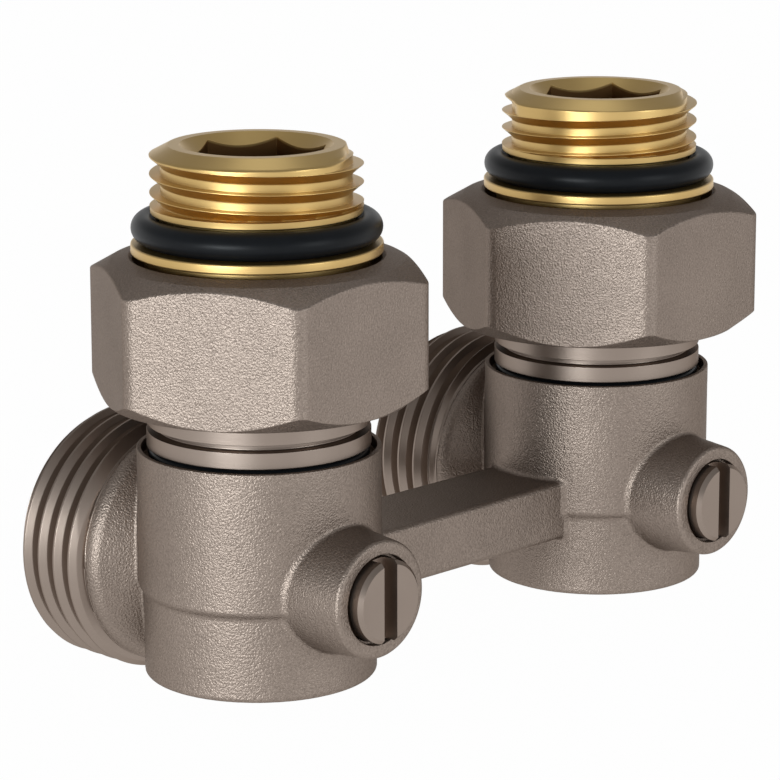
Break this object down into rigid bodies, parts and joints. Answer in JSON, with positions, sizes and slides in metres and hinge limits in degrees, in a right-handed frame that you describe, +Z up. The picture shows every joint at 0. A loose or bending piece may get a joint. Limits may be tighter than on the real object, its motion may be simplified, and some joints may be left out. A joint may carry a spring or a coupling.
{
  "type": "radiator connection valve",
  "caption": "Twin angle connection valve for a radiator: a bridged cast block with quarter-turn ball valves, slotted spindles, union nuts and self-sealing brass nipples.",
  "frame": {"origin": "middle of the standing face, centred in plan between the two valves and between the spindle tips and the outlet ends", "axes": "+X from the flow side to the return side, +Y out of the pipe outlets, +Z up to the radiator"},
  "size_m": [0.084, 0.0402, 0.0553],
  "materials": {
    "nickel_cast": "hot-pressed brass, sandblasted and nickel-plated, satin grey",
    "nickel_turned": "turned brass, nickel-plated, smooth",
    "brass": "bare turned brass",
    "rubber": "smooth black EPDM",
    "ptfe": "white PTFE",
    "chrome_ball": "polished hard-chromed brass",
    "gasket": "pressed fibre gasket"
  },
  "bodies": {
    "valve_block": {"valve_body": "nickel_cast", "flow_tailpiece": "nickel_turned", "flow_tailpiece_oring": "rubber", "flow_union_gasket": "gasket", "flow_ball_seat_top": "ptfe", "flow_ball_seat_outlet": "ptfe", "flow_outlet_retainer": "brass", "flow_slip_washer": "ptfe", "return_tailpiece": "nickel_turned", "return_tailpiece_oring": "rubber", "return_union_gasket": "gasket", "return_ball_seat_top": "ptfe", "return_ball_seat_outlet": "ptfe", "return_outlet_retainer": "brass", "return_slip_washer": "ptfe"},
    "flow_nut": {"flow_union_nut": "nickel_cast"},
    "flow_nipple_unit": {"flow_nipple": "brass", "flow_nipple_oring": "rubber"},
    "flow_spindle_unit": {"flow_spindle": "nickel_turned", "flow_spindle_orings": "rubber", "flow_ball": "chrome_ball"},
    "return_nut": {"return_union_nut": "nickel_cast"},
    "return_nipple_unit": {"return_nipple": "brass", "return_nipple_oring": "rubber"},
    "return_spindle_unit": {"return_spindle": "nickel_turned", "return_spindle_orings": "rubber", "return_ball": "chrome_ball"}
  },
  "joints": [
    {"name": "flow_nut_turn", "type": "hinge", "parent": "valve_block", "child": "flow_nut", "pos_m": [-0.025, -0.00195, 0.03665], "axis": [0, 0, -1], "range_deg": [0, 1440]},
    {"name": "flow_nipple_lift", "type": "slide", "parent": "valve_block", "child": "flow_nipple_unit", "axis": [0, 0, 1], "range_m": [0, 0.00726]},
    {"name": "flow_spindle_turn", "type": "hinge", "parent": "valve_block", "child": "flow_spindle_unit", "pos_m": [-0.025, -0.00195, 0.01315], "axis": [0, 1, 0], "range_deg": [0, 90]},
    {"name": "return_nut_turn", "type": "hinge", "parent": "valve_block", "child": "return_nut", "pos_m": [0.025, -0.00195, 0.03665], "axis": [0, 0, -1], "range_deg": [0, 1440]},
    {"name": "return_nipple_lift", "type": "slide", "parent": "valve_block", "child": "return_nipple_unit", "axis": [0, 0, 1], "range_m": [0, 0.00726]},
    {"name": "return_spindle_turn", "type": "hinge", "parent": "valve_block", "child": "return_spindle_unit", "pos_m": [0.025, -0.00195, 0.01315], "axis": [0, 1, 0], "range_deg": [0, 90]}
  ],
  "couplings": [
    {"joint": "flow_nut_turn", "follows": "flow_nipple_lift", "rad_per_m": 3463.7},
    {"joint": "return_nut_turn", "follows": "return_nipple_lift", "rad_per_m": 3463.7}
  ]
}
